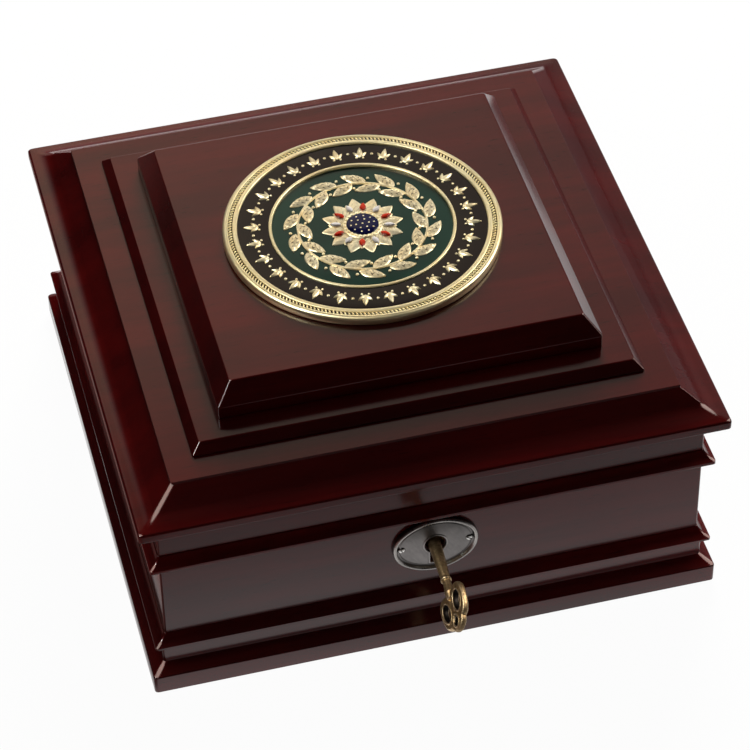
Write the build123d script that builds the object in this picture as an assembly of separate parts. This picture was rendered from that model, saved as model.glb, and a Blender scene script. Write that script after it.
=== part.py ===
from build123d import *
import os
from math import acos, atan, cos, degrees, hypot, pi, radians, sin, sqrt

# A square keepsake box of lacquered wood: a moulded, hinged lid with an enamelled medallion on its
# stepped top, and a box lock with its key. Millimetres, +Z up. The origin is the middle of the
# underside. The lock and key face -Y and the hinges +Y. Every "inset" is measured in from the
# outline of the lid's rim, and every clearance is on one side.

# ---- Outline of the lid ----
lid_width = 203.2
lid_depth = 203.2
corner_round = 1.4

# ---- Base board and its felt ----
felt_thickness = 0.6
felt_margin = 3.0
base_inset = 1.3
base_edge_height = 7.4
base_edge_round = 0.5
base_height = 10.3

# ---- Walls of the box ----
wall_inset = 7.0
wall_thickness = 12.0
wall_height = 45.6

# ---- Moulding round the foot of the walls ----
plinth_band_inset = 5.6
plinth_band_height = 8.4
plinth_bead_inset = 3.05
plinth_bead_lip = 1.2
plinth_height = 12.8

# ---- Lid rails, with a bead round their foot ----
lid_gap = 0.3
lid_rail_height = 19.05
lid_bead_inset = 3.35
lid_bead_lip = 1.5
lid_bead_height = 4.7
bead_flat = 0.3
bead_hollow = 0.35
bead_round = 0.4

# ---- Coved lid board and the two panels on it ----
lid_board_thickness = 11.35
rim_height = 4.0
rim_round = 0.9
cove_slope_foot = (8.0, 6.35)
cove_low_point = (4.6, 4.6)
cove_inset = 14.2
cove_step = 0.9
middle_panel_inset = 23.6
middle_panel_thickness = 3.8
middle_panel_lip = 0.8
middle_panel_bevel = 2.9
top_panel_inset = 35.0
top_panel_thickness = 11.6
top_panel_lip = 5.1
top_panel_bevel = 5.4
arris_round = 0.5

# ---- Velvet-covered linings ----
lining_thickness = 1.6
floor_lining_thickness = 2.0
lining_gap = 0.2
lining_drop = 1.0

# ---- Hinges ----
hinge_from_side = 43.6
hinge_length = 22.0
hinge_leaf_thickness = 1.2
hinge_leaf_reach = 10.0
hinge_barrel_radius = 2.5
hinge_barrel_standoff = 0.3
hinge_pin_radius = 1.1
hinge_pin_clearance = 0.05
hinge_knuckle_gap = 0.2
hinge_recess_clearance = 0.1
bead_notch_clearance = 0.6

# ---- How far a cut runs past the face that it leaves ----
cut_overrun = 1.0

# ---- Screws ----
screw_shank_radius = 0.9
screw_head_radius = 1.8
screw_head_height = 1.1
screw_length = 9.0
screw_clearance = 0.03
screw_flat_count = 12

# ---- Lock, measured from the top of the front wall and its inner face ----
keyhole_drop = 14.3
lock_flange_width = 5.3
lock_plate_thickness = 1.5
lock_plate_height = 25.5
selvedge_thickness = 1.6
lock_case_half_width = 23.2
lock_case_depth = 6.9
lock_case_wall = 0.7
lock_case_height = 20.7
lock_cut_clearance = 0.1
lock_screw_margin = 2.6
strike_screw_margin = 2.6

# ---- Bolt ----
bolt_throw = 4.0
bolt_thickness = 2.2
bolt_top_clearance = 0.3
bolt_above_key = 3.8
bolt_end_margin = 2.2
bolt_stump_radius = 1.2
bolt_stump_shoulder = 1.9
bolt_stump_spacing = 8.5
bolt_stump_shift = 0.3
bolt_stump_drop = 4.5
bolt_stump_tip = 0.6
bolt_clearance = 0.15
bolt_from_plate = 2.0

# ---- Strike plate and its two staples ----
strike_half_width = 24.0
strike_depth = 8.4
strike_thickness = 1.4
staple_from_case_end = 9.2
staple_thickness = 2.2
staple_leg = 1.3
staple_window = 2.9
staple_drop = 8.0
staple_bar = 1.6
staple_slot_clearance = 0.5

# ---- Key ----
key_rest_turn = 26.0
key_lean = 2.2
key_droop = 0.3
key_stem_radius = 2.2
key_stem_end_radius = 1.65
key_neck_radius = 1.5
key_collar_radius = 2.1
key_collar_length = 1.0
key_stem_out = 17.4
key_bit_radius = 6.4
key_bit_thickness = 2.0
key_bit_length = 3.0
key_pin_radius = 0.8
key_pin_clearance = 0.45
key_play = 0.4
bow_thickness = 2.6
bow_lobe_out = 30.3
bow_lobe_side = 3.6
bow_lobe_long = 7.0
bow_lobe_wide = 3.9
bow_hole_long = 3.8
bow_hole_wide = 2.2
bow_end_out = 36.4
bow_end_radius = 3.9
bow_end_hole_radius = 1.9

# ---- Keyhole plate ----
escutcheon_width = 30.0
escutcheon_height = 24.0
escutcheon_end_radius = 10.0
escutcheon_rim = 1.7
escutcheon_thickness = 2.0
escutcheon_field = 1.0
keyhole_radius = 3.8
keyhole_slot_width = 3.6
keyhole_slot_drop = 8.4
keyhole_lip = 0.5
keyhole_lip_height = 0.3
escutcheon_screw_margin = 3.1
escutcheon_screw_radius = 1.2
escutcheon_screw_height = 0.6
escutcheon_screw_length = 4.5

# ---- Medallion ----
medallion_radius = 48.5
medallion_thickness = 3.0
band_outer = 43.4
band_inner = 32.6
field_radius = 31.4
ring_level = 2.2
band_recess = 0.3
field_recess = 0.8
enamel_thickness = 0.5
band_bead_count = 28
band_bead_radius = 1.25
wreath_radius = 22.5
wreath_leaf_length = 8.6
wreath_leaf_width = 3.6
wreath_leaf_height = 0.8
wreath_leaf_pairs = 14
wreath_leaf_spread = 2.5
wreath_leaf_splay = 24.0
rosette_petals = 12
rosette_radius = 14.5
rosette_petal_width = 5.4
rosette_height = 0.9
boss_radius = 7.0
boss_crown_radius = 4.5
boss_height = 0.9

# ---- Heights and planes that follow from them ----
half_width = lid_width / 2
half_depth = lid_depth / 2
base_top = felt_thickness + base_height
wall_top = base_top + wall_height
lid_foot = wall_top + lid_gap
lid_board_foot = lid_foot + lid_rail_height
lid_board_top = lid_board_foot + lid_board_thickness
middle_panel_top = lid_board_top + middle_panel_thickness
top_panel_top = middle_panel_top + top_panel_thickness
inner_inset = wall_inset + wall_thickness
front_face = -half_depth + wall_inset
front_inner_face = -half_depth + inner_inset
back_face = half_depth - wall_inset
hinge_y = back_face + hinge_barrel_standoff + hinge_barrel_radius
hinge_z = wall_top + lid_gap / 2
keyhole_z = wall_top - keyhole_drop

SIDES = ("front", "back", "left", "right")


def side_edges(start, steps, half):
    """The edges of a moulding's outline on the +X side, from (inset, height) points.

    A step is one point for a straight edge, or two, a middle and an end, for an arc.
    """
    edges = []
    at = start
    for step in steps:
        points = [(half - inset, height) for inset, height in (at, *step)]
        edges.append(ThreePointArc(*points) if len(step) == 2 else Line(*points))
        at = step[-1]
    return edges


def moulded_block(start, steps, foot, corner=0.0):
    """A solid block that has the same moulded outline on all four sides."""
    slabs = []
    for half, length, plane in ((half_width, lid_depth, Plane.XZ), (half_depth, lid_width, Plane.YZ)):
        right = side_edges(start, steps, half)
        left = [mirror(edge, about=Plane.YZ) for edge in right]
        bottom = Line(left[0] @ 0, right[0] @ 0)
        top = Line(right[-1] @ 1, left[-1] @ 1)
        section = make_face(right + [top] + left + [bottom])
        slabs.append(extrude(plane * section, amount=length / 2, both=True))
    block = slabs[0] & slabs[1]
    if corner:
        points = [start] + [point for step in steps for point in step]
        outer = min(inset for inset, height in points)
        tall = max(height for inset, height in points)
        outline = RectangleRounded(lid_width - 2 * outer, lid_depth - 2 * outer, corner)
        block &= extrude(outline, amount=tall)
    return Pos(0, 0, foot) * block


def inner_block(inset, foot, height):
    """The rectangular space inside a given inset."""
    return Pos(0, 0, foot) * extrude(Rectangle(lid_width - 2 * inset, lid_depth - 2 * inset), amount=height)


def mitre_wedge(side, reach, foot, height):
    """The prism that a mitred length on one side lies in, as deep as `reach` from the lid's rim."""
    corners = [
        (-half_width, -half_depth),
        (half_width, -half_depth),
        (half_width - reach, -half_depth + reach),
        (-half_width + reach, -half_depth + reach),
    ]
    if side in ("left", "right"):
        corners = [
            (-half_width, half_depth),
            (-half_width, -half_depth),
            (-half_width + reach, -half_depth + reach),
            (-half_width + reach, half_depth - reach),
        ]
    wedge = Pos(0, 0, foot) * extrude(make_face(Polyline(*corners, close=True)), amount=height)
    if side == "back":
        return mirror(wedge, about=Plane.XZ)
    if side == "right":
        return mirror(wedge, about=Plane.YZ)
    return wedge


def mitred_lengths(ring, reach, foot, height):
    """Cut a moulded ring into its four mitred lengths."""
    return {side: ring & mitre_wedge(side, reach, foot, height) for side in SIDES}


def box_between(low, high):
    """A block from its lowest to its highest corner."""
    size = [b - a for a, b in zip(low, high)]
    middle = [(a + b) / 2 for a, b in zip(low, high)]
    return Pos(*middle) * Box(*size)


def turned(outline_points):
    """A turned piece from (radius, height) points, its axis along Z."""
    return revolve(Plane.XZ * make_face(Polyline(*outline_points, close=True)), Axis.Z)


def screw_outline(radius, level):
    """The section of a screw or its hole at a height, as a few flats in place of the full circle."""
    return Pos(0, 0, level) * RegularPolygon(radius, screw_flat_count)


def screw_shank(length, grow=0.0):
    """A screw's shank from the origin down -Z, or its hole."""
    return extrude(screw_outline(screw_shank_radius + grow, -length - grow), amount=length + grow)


def wood_screw(grow=0.0):
    """A countersunk screw, its flat head at the origin and its shank down -Z, or its hole."""
    head = extrude(screw_outline(screw_head_radius + grow, -screw_head_height), amount=screw_head_height)
    head = chamfer(head.edges().group_by(Axis.Z)[0], screw_head_radius - screw_shank_radius)
    return screw_shank(screw_length, grow) + head


def bead_steps(bead_inset, lip_foot, lip_height, top):
    """The outline of a bead: its underside, rounded lip and hollow top, up to the wall behind."""
    lip_top = lip_foot + lip_height
    end_inset = wall_inset - bead_flat
    middle = ((bead_inset + end_inset) / 2 + bead_hollow, (lip_top + top) / 2 - bead_hollow)
    corner = bead_round * (1 - sqrt(0.5))
    return [
        ((bead_inset + bead_round, lip_foot),),
        ((bead_inset + corner, lip_foot + corner), (bead_inset, lip_foot + bead_round)),
        ((bead_inset, lip_top),),
        (middle, (end_inset, top)),
    ]


# ---- Base board: one board with a moulded edge, and the felt under it ----
round_off = base_edge_round * (1 - sqrt(0.5))
base_steps = [
    ((base_inset, base_edge_height - base_edge_round),),
    (
        (base_inset + round_off, base_edge_height - round_off),
        (base_inset + base_edge_round, base_edge_height),
    ),
    ((plinth_band_inset, base_height),),
]
base_board = moulded_block((base_inset, 0), base_steps, felt_thickness, corner_round)
base_felt = inner_block(base_inset + felt_margin, 0, felt_thickness)

# ---- Moulding round the foot of the walls ----
plinth_steps = [
    ((plinth_band_inset, plinth_band_height),),
    *bead_steps(plinth_bead_inset, plinth_band_height, plinth_bead_lip, plinth_height),
]
plinth = moulded_block((plinth_band_inset, 0), plinth_steps, base_top)
plinth -= inner_block(wall_inset, base_top, plinth_height)
plinth_moulding = mitred_lengths(plinth, wall_inset + wall_thickness / 2, base_top, plinth_height)

# ---- Walls ----
wall_ring = inner_block(wall_inset, base_top, wall_height) - inner_block(inner_inset, base_top, wall_height)
wall = mitred_lengths(wall_ring, inner_inset + wall_thickness / 2, base_top, wall_height)

# ---- Lid rails and the bead round their foot ----
rail_ring = inner_block(wall_inset, lid_foot, lid_rail_height)
rail_ring -= inner_block(inner_inset, lid_foot, lid_rail_height)
lid_rail = mitred_lengths(rail_ring, inner_inset + wall_thickness / 2, lid_foot, lid_rail_height)
bead_start = (wall_inset + bead_flat, 0)
bead = moulded_block(bead_start, bead_steps(lid_bead_inset, 0, lid_bead_lip, lid_bead_height), lid_foot)
bead -= inner_block(wall_inset, lid_foot, lid_bead_height)
lid_bead = mitred_lengths(bead, wall_inset + wall_thickness / 2, lid_foot, lid_bead_height)

# ---- Lid board with its cove, and the two panels ----
rim_corner = rim_round * (1 - sqrt(0.5))
lid_board = moulded_block(
    (arris_round, 0),
    [
        ((0, arris_round),),
        ((0, rim_height - rim_round),),
        ((rim_corner, rim_height - rim_corner), (rim_round, rim_height)),
        (cove_low_point, cove_slope_foot),
        ((cove_inset, lid_board_thickness - cove_step),),
        ((cove_inset, lid_board_thickness),),
    ],
    lid_board_foot,
    corner_round,
)
middle_panel = moulded_block(
    (middle_panel_inset, 0),
    [
        ((middle_panel_inset, middle_panel_lip),),
        ((middle_panel_inset + middle_panel_bevel, middle_panel_thickness),),
    ],
    lid_board_top,
)
top_panel = moulded_block(
    (top_panel_inset, 0),
    [
        ((top_panel_inset, top_panel_lip),),
        ((top_panel_inset + top_panel_bevel, top_panel_thickness),),
    ],
    middle_panel_top,
)

# ---- Linings: velvet over card, let in between the walls ----
lining_inset = inner_inset + lining_thickness
side_lining_foot = base_top + floor_lining_thickness
side_lining_height = wall_top - lining_drop - side_lining_foot
lid_lining_height = lid_rail_height - lining_thickness - lining_drop
floor_lining = inner_block(inner_inset + lining_gap, base_top, floor_lining_thickness)
lid_lining = inner_block(inner_inset + lining_gap, lid_board_foot - lining_thickness, lining_thickness)
lining_ring = inner_block(inner_inset, side_lining_foot, side_lining_height)
lining_ring -= inner_block(lining_inset, side_lining_foot, side_lining_height)
wall_lining = mitred_lengths(lining_ring, lining_inset + wall_thickness, side_lining_foot, side_lining_height)
lid_lining_ring = inner_block(inner_inset, lid_foot + lining_drop, lid_lining_height)
lid_lining_ring -= inner_block(lining_inset, lid_foot + lining_drop, lid_lining_height)
lid_side_lining = mitred_lengths(
    lid_lining_ring, lining_inset + wall_thickness, lid_foot + lining_drop, lid_lining_height
)

# ---- Butt hinges, let into the back wall and the back rail of the lid ----
hinge_places = [-half_width + hinge_from_side, half_width - hinge_from_side]
knuckle_length = (hinge_length - 2 * hinge_knuckle_gap) / 3
middle_knuckle = (-knuckle_length / 2, knuckle_length / 2)
end_knuckles = [
    (-hinge_length / 2, -hinge_length / 2 + knuckle_length),
    (hinge_length / 2 - knuckle_length, hinge_length / 2),
]


def rod(x_from, x_to, radius):
    """A round bar along X on the hinge axis."""
    return Pos((x_from + x_to) / 2, hinge_y, hinge_z) * Rot(0, 90, 0) * Cylinder(radius, x_to - x_from)


def hinge_leaf(knuckles, gaps, level, up):
    """A flat leaf with its knuckles, cut back round the other leaf's knuckles and bored for the pin."""
    low, high = (level, level + hinge_leaf_thickness) if up else (level - hinge_leaf_thickness, level)
    leaf = box_between(
        (-hinge_length / 2, back_face - hinge_leaf_reach, low), (hinge_length / 2, hinge_y, high)
    )
    for x_from, x_to in knuckles:
        leaf += rod(x_from, x_to, hinge_barrel_radius)
    for x_from, x_to in gaps:
        leaf -= box_between(
            (x_from, back_face, low - cut_overrun),
            (x_to, hinge_y + hinge_barrel_radius, high + cut_overrun),
        )
    return leaf - rod(-hinge_length, hinge_length, hinge_pin_radius + hinge_pin_clearance)


other_of_middle = [(a - hinge_knuckle_gap, b + hinge_knuckle_gap) for a, b in end_knuckles]
other_of_ends = [(a - hinge_knuckle_gap, b + hinge_knuckle_gap) for a, b in [middle_knuckle]]
leaf_lower_blank = hinge_leaf(end_knuckles, other_of_ends, wall_top, False)
leaf_upper_blank = hinge_leaf([middle_knuckle], other_of_middle, lid_foot, True)
hinge_screw_xs = [-hinge_length / 3, hinge_length / 3]
hinge_screw_y = back_face - hinge_leaf_reach / 2


def on_leaf(tool, level, up):
    """A screw or its hole at the two screw places of one leaf."""
    turn = Rot(180, 0, 0) if up else Rot(0, 0, 0)
    return [Pos(x, hinge_screw_y, level) * turn * tool for x in hinge_screw_xs]


leaf_lower_blank -= on_leaf(wood_screw(screw_clearance), wall_top, False)
leaf_upper_blank -= on_leaf(wood_screw(screw_clearance), lid_foot, True)
hinge_pin_blank = rod(-hinge_length / 2, hinge_length / 2, hinge_pin_radius)
pilot_hole = screw_shank(screw_length, screw_clearance)

hinge_leaf_lower, hinge_leaf_upper, hinge_pin = {}, {}, {}
hinge_screws_lower, hinge_screws_upper = [], []
for name, x in zip(("left", "right"), hinge_places):
    place = Pos(x, 0, 0)
    hinge_leaf_lower[name] = place * leaf_lower_blank
    hinge_leaf_upper[name] = place * leaf_upper_blank
    hinge_pin[name] = place * hinge_pin_blank
    hinge_screws_lower += [place * screw for screw in on_leaf(wood_screw(), wall_top, False)]
    hinge_screws_upper += [place * screw for screw in on_leaf(wood_screw(), lid_foot, True)]
    recess = box_between(
        (
            -hinge_length / 2 - hinge_recess_clearance,
            back_face - hinge_leaf_reach - hinge_recess_clearance,
            wall_top - hinge_leaf_thickness,
        ),
        (
            hinge_length / 2 + hinge_recess_clearance,
            back_face + wall_thickness,
            lid_foot + hinge_leaf_thickness,
        ),
    )
    notch = rod(
        -hinge_length / 2 - bead_notch_clearance,
        hinge_length / 2 + bead_notch_clearance,
        hinge_barrel_radius + bead_notch_clearance,
    )
    wall["back"] -= place * recess
    lid_rail["back"] -= place * recess
    lid_bead["back"] -= place * recess + place * notch
    wall["back"] -= [place * hole for hole in on_leaf(pilot_hole, wall_top, False)]
    lid_rail["back"] -= [place * hole for hole in on_leaf(pilot_hole, lid_foot, True)]

# ---- Lock: a plate with a top lip, a case in the mortise, and the pin that the key turns on ----
plate_back = front_inner_face
plate_front = plate_back - lock_plate_thickness
case_front = plate_front - lock_case_depth
lip_foot = wall_top - selvedge_thickness
case_foot = lip_foot - lock_case_height
strike_middle_y = plate_back - strike_depth / 2
staple_reach = staple_window / 2 + staple_leg
bolt_back = plate_front - bolt_from_plate
bolt_front = bolt_back - bolt_thickness
bolt_middle_y = (bolt_front + bolt_back) / 2
bolt_foot = keyhole_z + bolt_above_key
bolt_top = lip_foot - bolt_top_clearance
stump_z = lip_foot - bolt_stump_drop + bolt_stump_radius + bolt_top_clearance
stump_xs = [bolt_stump_shift - bolt_stump_spacing / 2, bolt_stump_shift + bolt_stump_spacing / 2]
staple_reach_x = lock_case_half_width - staple_from_case_end
staple_xs = [-staple_reach_x, staple_reach_x]
case_inner_half = lock_case_half_width - lock_case_wall
lock_plate_half_width = lock_case_half_width + lock_flange_width


def keyhole_outline(radius, slot_width, slot_drop):
    """A round hole with a slot below it, centred on the key."""
    slot = Pos(0, -slot_drop / 2) * Rectangle(slot_width, slot_drop)
    return Circle(radius) + slot


def through_front(outline, y_from, y_to):
    """An outline in X and Z, centred on the keyhole, as a solid between two depths."""
    plane = Plane((0, y_from, keyhole_z), x_dir=(1, 0, 0), z_dir=(0, -1, 0))
    return extrude(plane * outline, amount=y_from - y_to)


lock_plate = box_between(
    (-lock_plate_half_width, plate_front, wall_top - lock_plate_height),
    (lock_plate_half_width, plate_back, wall_top),
)
lock_plate += box_between(
    (-lock_plate_half_width, case_front, lip_foot), (lock_plate_half_width, plate_back, wall_top)
)
for x in staple_xs:
    half = staple_thickness / 2 + staple_slot_clearance
    lock_plate -= box_between(
        (x - half, bolt_middle_y - staple_reach - staple_slot_clearance, lip_foot - cut_overrun),
        (x + half, bolt_middle_y + staple_reach + staple_slot_clearance, wall_top + cut_overrun),
    )
for x in stump_xs:
    stump = turned([
        (0, 0),
        (bolt_stump_shoulder, 0),
        (bolt_stump_shoulder, bolt_from_plate - bolt_clearance),
        (bolt_stump_radius, bolt_from_plate - bolt_clearance),
        (bolt_stump_radius, bolt_from_plate + bolt_thickness + bolt_stump_tip),
        (0, bolt_from_plate + bolt_thickness + bolt_stump_tip),
    ])
    lock_plate += Pos(x, plate_front, stump_z) * Rot(90, 0, 0) * stump
key_tip = plate_front - key_play
key_pin_length = lock_case_depth - lock_case_wall - 2 * key_play
key_pin = Pos(0, 0, key_pin_length / 2) * Cylinder(key_pin_radius, key_pin_length)
lock_plate += Pos(0, plate_front, keyhole_z) * Rot(90, 0, 0) * key_pin

lock_cap = box_between(
    (-lock_case_half_width, case_front, case_foot), (lock_case_half_width, plate_front, lip_foot)
)
lock_cap -= box_between(
    (-case_inner_half, case_front + lock_case_wall, case_foot + lock_case_wall),
    (case_inner_half, plate_front, lip_foot),
)
case_hole = keyhole_outline(
    key_stem_radius + key_play, key_bit_thickness + 2 * key_play, key_bit_radius + key_play
)
lock_cap -= through_front(case_hole, plate_front, case_front)

lock_screw_places = [
    (x * (lock_case_half_width + lock_flange_width / 2), plate_back, z)
    for x in (-1, 1)
    for z in (wall_top - lock_plate_height + lock_screw_margin, lip_foot - lock_screw_margin)
]
lock_screws = []
mortise = box_between(
    (
        -lock_case_half_width - lock_cut_clearance,
        case_front - lock_cut_clearance,
        case_foot - lock_cut_clearance,
    ),
    (lock_case_half_width + lock_cut_clearance, plate_front, wall_top),
)
mortise += box_between(
    (-lock_plate_half_width, plate_front, wall_top - lock_plate_height),
    (lock_plate_half_width, plate_back + wall_thickness, wall_top),
)
mortise += box_between(
    (-lock_plate_half_width, case_front - lock_cut_clearance, lip_foot),
    (lock_plate_half_width, plate_back, wall_top),
)
for x, y, z in lock_screw_places:
    place = Pos(x, y, z) * Rot(-90, 0, 0)
    lock_screws.append(place * wood_screw())
    lock_plate -= place * wood_screw(screw_clearance)
    wall["front"] -= place * pilot_hole
wall["front"] -= mortise
wall_hole = keyhole_outline(
    key_stem_radius + 3 * key_play, key_bit_thickness + 3 * key_play, key_bit_radius + 2 * key_play
)
wall["front"] -= through_front(wall_hole, plate_front, front_face - wall_thickness)
wall_lining["front"] -= box_between(
    (-lock_plate_half_width - lining_gap, plate_front, wall_top - lock_plate_height - lining_gap),
    (lock_plate_half_width + lining_gap, plate_back + wall_thickness, wall_top),
)

# ---- Bolt: two hooked fingers for the staples, and a gap that the key's bit pushes in ----
bit_corner = hypot(key_bit_radius, key_bit_thickness / 2)
bit_reach = sqrt(bit_corner**2 - bolt_above_key**2)
half_sweep = degrees(acos(bolt_above_key / bit_corner) + atan(key_bit_thickness / 2 / key_bit_radius))
late_sweep = degrees(acos(bolt_above_key / bit_corner) - atan(key_bit_thickness / 2 / key_bit_radius))


def bolt_at(key_angle):
    """How far the bolt has moved from rest when the key has turned to an angle from upright."""
    return bolt_throw * (key_angle - key_rest_turn) / 360


retracted = -bolt_at(0)
thrown = bolt_at(360)
talon_left = -bit_reach - bolt_at(180 - late_sweep) - key_play
talon_right = bit_reach - bolt_at(180 + late_sweep) + key_play
finger_foot = wall_top - staple_drop + staple_bar + staple_slot_clearance
undercut_foot = wall_top - staple_drop - staple_slot_clearance
half_staple = staple_thickness / 2
bolt_left = staple_xs[0] - half_staple - thrown - staple_slot_clearance - bolt_end_margin
bolt_right = staple_xs[1] + half_staple + retracted + staple_slot_clearance + bolt_end_margin
bolt = box_between((bolt_left, bolt_front, bolt_foot), (bolt_right, bolt_back, bolt_top))
bolt -= box_between(
    (talon_left, bolt_front, bolt_foot),
    (talon_right, bolt_back, keyhole_z + key_bit_radius + key_play),
)
for x in staple_xs:
    slot_right = x + half_staple + staple_slot_clearance + retracted
    bolt -= box_between(
        (x - half_staple - staple_slot_clearance, bolt_front, undercut_foot),
        (slot_right, bolt_back, bolt_top),
    )
    bolt -= box_between(
        (x - half_staple - staple_slot_clearance - thrown, bolt_front, undercut_foot),
        (slot_right, bolt_back, finger_foot),
    )
for x in stump_xs:
    reach_left = thrown + bolt_stump_radius + bolt_clearance
    reach_right = retracted + bolt_stump_radius + bolt_clearance
    bolt -= box_between(
        (x - reach_left, bolt_front, stump_z - bolt_stump_radius - bolt_clearance),
        (x + reach_right, bolt_back, stump_z + bolt_stump_radius + bolt_clearance),
    )

# ---- Strike plate under the lid's front rail, with its two staples ----
strike_front = plate_back - strike_depth
strike_plate = box_between(
    (-strike_half_width, strike_front, lid_foot), (strike_half_width, plate_back, lid_foot + strike_thickness)
)
lid_rail["front"] -= strike_plate
for x in staple_xs:
    staple_low = wall_top - staple_drop
    staple = box_between(
        (x - half_staple, bolt_middle_y - staple_reach, staple_low),
        (x + half_staple, bolt_middle_y + staple_reach, lid_foot),
    )
    staple -= box_between(
        (x - half_staple, bolt_middle_y - staple_window / 2, staple_low + staple_bar),
        (x + half_staple, bolt_middle_y + staple_window / 2, lid_foot),
    )
    strike_plate += staple
strike_screws = []
for x in (-strike_half_width + strike_screw_margin, strike_half_width - strike_screw_margin, 0):
    place = Pos(x, strike_middle_y, lid_foot) * Rot(180, 0, 0)
    strike_screws.append(place * wood_screw())
    strike_plate -= place * wood_screw(screw_clearance)
    lid_rail["front"] -= place * pilot_hole

# ---- Keyhole plate with its two domed screws ----
rim_top = front_face - escutcheon_thickness
field_top = front_face - escutcheon_field
end_middle = escutcheon_width / 2 - escutcheon_end_radius
end_gap = escutcheon_height / 2 - escutcheon_end_radius
flank_radius = (end_middle**2 + (escutcheon_height / 2) ** 2 - escutcheon_end_radius**2) / (2 * end_gap)
flank_shift = flank_radius - escutcheon_height / 2
outer_oval = Pos(0, -flank_shift) * Circle(flank_radius) & Pos(0, flank_shift) * Circle(flank_radius)
outer_oval = fillet(outer_oval.vertices(), escutcheon_end_radius)
inner_oval = offset(outer_oval, -escutcheon_rim)
plate_keyhole = keyhole_outline(keyhole_radius, keyhole_slot_width, keyhole_slot_drop)
lip_outline = keyhole_outline(
    keyhole_radius + keyhole_lip, keyhole_slot_width + 2 * keyhole_lip, keyhole_slot_drop + keyhole_lip
)
escutcheon = through_front(outer_oval, front_face, rim_top)
escutcheon = chamfer(escutcheon.edges().sort_by(Axis.Y)[0], escutcheon_rim / 3)
escutcheon -= through_front(inner_oval, field_top, rim_top - cut_overrun)
escutcheon += through_front(lip_outline, field_top, field_top - keyhole_lip_height)
escutcheon -= through_front(plate_keyhole, front_face, rim_top - cut_overrun)
escutcheon_screws = []
for side in (-1, 1):
    head = extrude(screw_outline(escutcheon_screw_radius, 0), amount=escutcheon_screw_height)
    head = chamfer(head.edges().group_by(Axis.Z)[-1], escutcheon_screw_height / 2)
    screw = head + screw_shank(escutcheon_screw_length)
    hole = Pos(0, 0, cut_overrun) * screw_shank(escutcheon_screw_length + cut_overrun, screw_clearance)
    place = Pos(side * (escutcheon_width / 2 - escutcheon_screw_margin), field_top, keyhole_z) * Rot(90, 0, 0)
    escutcheon_screws.append(place * screw)
    escutcheon -= place * hole
    wall["front"] -= place * hole

# ---- Key: built with its tip at the origin and pointing out along +Z, then turned to face -Y ----
# Loose on its pin, it hangs a little to the left and down, and turns about its own stem.
stem_start = key_tip - front_face
stem_end = stem_start + key_stem_out
collar_end = stem_end + key_collar_length
bow_foot = stem_start + bow_lobe_out - bow_lobe_long
bow_middle = stem_start + bow_lobe_out
bow_end = stem_start + bow_end_out
bore_radius = key_pin_radius + key_pin_clearance
bore_depth = key_pin_length
stem = turned([
    (bore_radius, 0),
    (key_stem_radius, 0),
    (key_stem_radius, stem_start),
    (key_stem_end_radius, stem_end),
    (key_collar_radius, stem_end),
    (key_collar_radius, collar_end),
    (key_neck_radius, collar_end),
    (key_neck_radius, bow_foot),
    (bow_thickness / 2, bow_foot),
    (bow_thickness / 2, bow_middle - bow_hole_long),
    (0, bow_middle - bow_hole_long),
    (0, bore_depth + bore_radius),
    (bore_radius, bore_depth),
])
bow_outline = Pos(0, bow_end) * Circle(bow_end_radius)
bow_holes = Pos(0, bow_end) * Circle(bow_end_hole_radius)
for side in (-1, 1):
    lobe = Pos(side * bow_lobe_side, bow_middle) * Rot(0, 0, 90)
    bow_outline += lobe * SlotOverall(2 * bow_lobe_long, 2 * bow_lobe_wide)
    bow_holes += lobe * SlotOverall(2 * bow_hole_long, 2 * bow_hole_wide)
bow = extrude(Plane.YZ * (bow_outline - bow_holes), amount=bow_thickness / 2, both=True)
bit_foot = (lock_case_depth - lock_case_wall - key_bit_length) / 2 - key_play
bit = box_between(
    (-key_bit_thickness / 2, -key_bit_radius, bit_foot),
    (key_bit_thickness / 2, -key_stem_radius / 2, bit_foot + key_bit_length),
)
bit -= Pos(0, 0, bit_foot) * Cylinder(bore_radius, 3 * key_bit_length)
key_pivot = (plate_front + case_front) / 2
in_lock = Pos(0, key_pivot, keyhole_z) * Rot(0, 0, -key_lean) * Rot(90 + key_droop, 0, -key_rest_turn)
key = in_lock * Pos(0, 0, key_pivot - key_tip) * (stem + bow + bit)

# ---- Medallion: a struck disc with a corded rim, enamel let into it and a wreath round a rosette ----
band_floor = ring_level - band_recess - enamel_thickness
field_floor = ring_level - field_recess - enamel_thickness
band_level = band_floor + enamel_thickness
field_level = field_floor + enamel_thickness
on_lid = Pos(0, 0, top_panel_top)
medallion_disc = on_lid * turned([
    (0, 0),
    (medallion_radius, 0),
    (medallion_radius, ring_level),
    ((medallion_radius + band_outer) / 2, medallion_thickness),
    (band_outer, ring_level),
    (band_outer, band_floor),
    (band_inner, band_floor),
    (band_inner, ring_level),
    (field_radius, ring_level),
    (field_radius, field_floor),
    (0, field_floor),
])
enamel_band = on_lid * Pos(0, 0, band_floor) * extrude(
    Circle(band_outer) - Circle(band_inner), amount=enamel_thickness
)
enamel_field = on_lid * Pos(0, 0, field_floor) * extrude(Circle(field_radius), amount=enamel_thickness)


def petal_outline(length, width):
    """A pointed leaf along +X, widest a third of the way along, its middle at the origin."""
    side = [(-length / 2, 0), (-length / 6, width / 2), (length / 5, 0.4 * width), (length / 2, 0)]
    return make_face(Polyline(*side, *[(x, -y) for x, y in side[2:0:-1]], close=True))


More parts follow.
